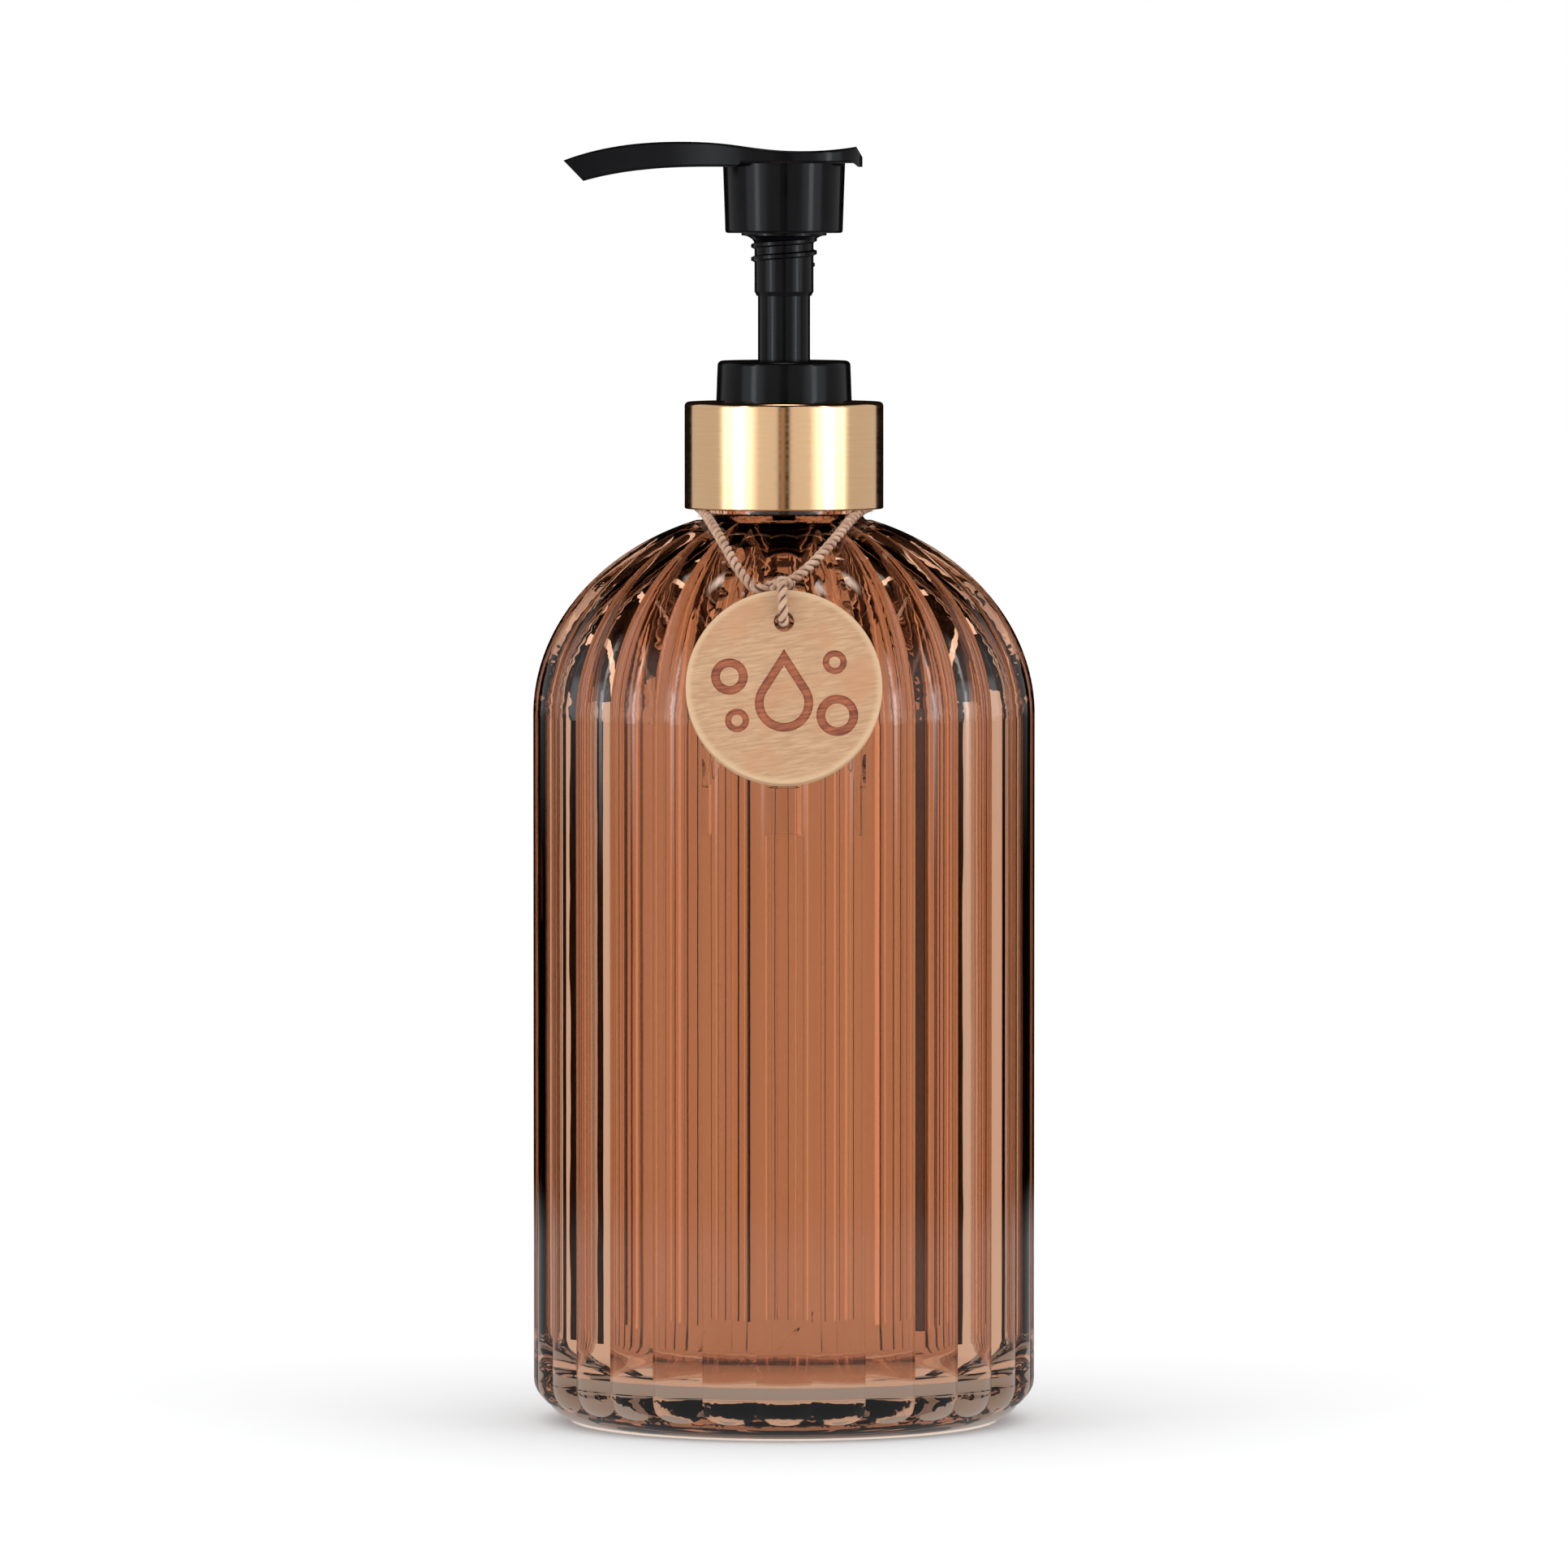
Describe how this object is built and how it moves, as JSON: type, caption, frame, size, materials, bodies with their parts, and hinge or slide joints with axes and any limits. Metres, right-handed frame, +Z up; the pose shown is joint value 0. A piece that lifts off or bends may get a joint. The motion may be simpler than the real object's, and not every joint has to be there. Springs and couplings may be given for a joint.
{
  "type": "soap pump dispenser",
  "caption": "Ribbed amber glass bottle with a screw-on lever pump, gilt collar, dip tube, and a round wooden tag hung on a twine round the neck.",
  "frame": {"origin": "centre of the bottle's foot, on the surface it stands on", "axes": "+Z up along the bottle's axis; the spout points along -X at rest; the tag hangs on the -Y side"},
  "size_m": [0.0808, 0.0867, 0.2061],
  "materials": {
    "amber_glass": "clear brown glass, polished",
    "gilt_aluminium": "bright anodised",
    "black_plastic": "satin moulded",
    "natural_plastic": "natural polypropylene",
    "clear_tube": "clear polyethylene",
    "soft_seal": "soft foamed liner",
    "steel": "stainless",
    "twine": "twisted jute",
    "pale_wood": "sanded, burnt marks"
  },
  "bodies": {
    "glass": {"bottle": "amber_glass"},
    "necklace": {"neck_twine": "twine", "twine_knot": "twine"},
    "tag": {"tag_loop": "twine", "wooden_tag": "pale_wood"},
    "gasket": {"neck_gasket": "soft_seal"},
    "pump": {"pump_housing": "natural_plastic", "housing_cap": "black_plastic", "stem_seal": "soft_seal", "ball_cage": "natural_plastic", "dip_tube": "clear_tube", "return_spring": "steel"},
    "collar": {"collar_liner": "black_plastic", "collar_shell": "gilt_aluminium"},
    "stem": {"pump_stem": "black_plastic", "stem_plug": "natural_plastic"},
    "head": {"actuator_head": "black_plastic"},
    "piston_body": {"piston": "natural_plastic"},
    "ball": {"inlet_ball": "steel"}
  },
  "joints": [
    {"name": "lift_out", "type": "slide", "parent": "glass", "child": "gasket", "axis": [0, 0, 1], "range_m": [0, 0.165]},
    {"name": "unscrew_rise", "type": "slide", "parent": "gasket", "child": "pump", "axis": [0, 0, 1], "range_m": [0, 0.00529]},
    {"name": "collar_turn", "type": "hinge", "parent": "pump", "child": "collar", "pos_m": [0, 0, 0.155], "axis": [0, 0, 1], "range_deg": [0, 450]},
    {"name": "pump_stroke", "type": "slide", "parent": "pump", "child": "stem", "axis": [0, 0, -1], "range_m": [0, 0.0145], "stiffness_N_per_m": 500, "springref_m": -0.01, "deforming": ["return_spring"]},
    {"name": "head_turn", "type": "hinge", "parent": "stem", "child": "head", "pos_m": [0, 0, 0.19], "axis": [0, 0, 1], "continuous": true},
    {"name": "piston_float", "type": "slide", "parent": "stem", "child": "piston_body", "axis": [0, 0, 1], "range_m": [0, 0.0012]},
    {"name": "ball_lift", "type": "slide", "parent": "pump", "child": "ball", "axis": [0, 0, 1], "range_m": [0, 0.0015]},
    {"name": "twine_turn", "type": "hinge", "parent": "glass", "child": "necklace", "pos_m": [0, 0, 0.14], "axis": [0, 0, 1], "continuous": true},
    {"name": "tag_swing", "type": "hinge", "parent": "necklace", "child": "tag", "pos_m": [-0.0006, -0.03315, 0.1361], "axis": [-1, 0, 0], "range_deg": [0, 80]}
  ],
  "couplings": [
    {"joint": "collar_turn", "follows": "unscrew_rise", "rad_per_m": 1484.2}
  ]
}
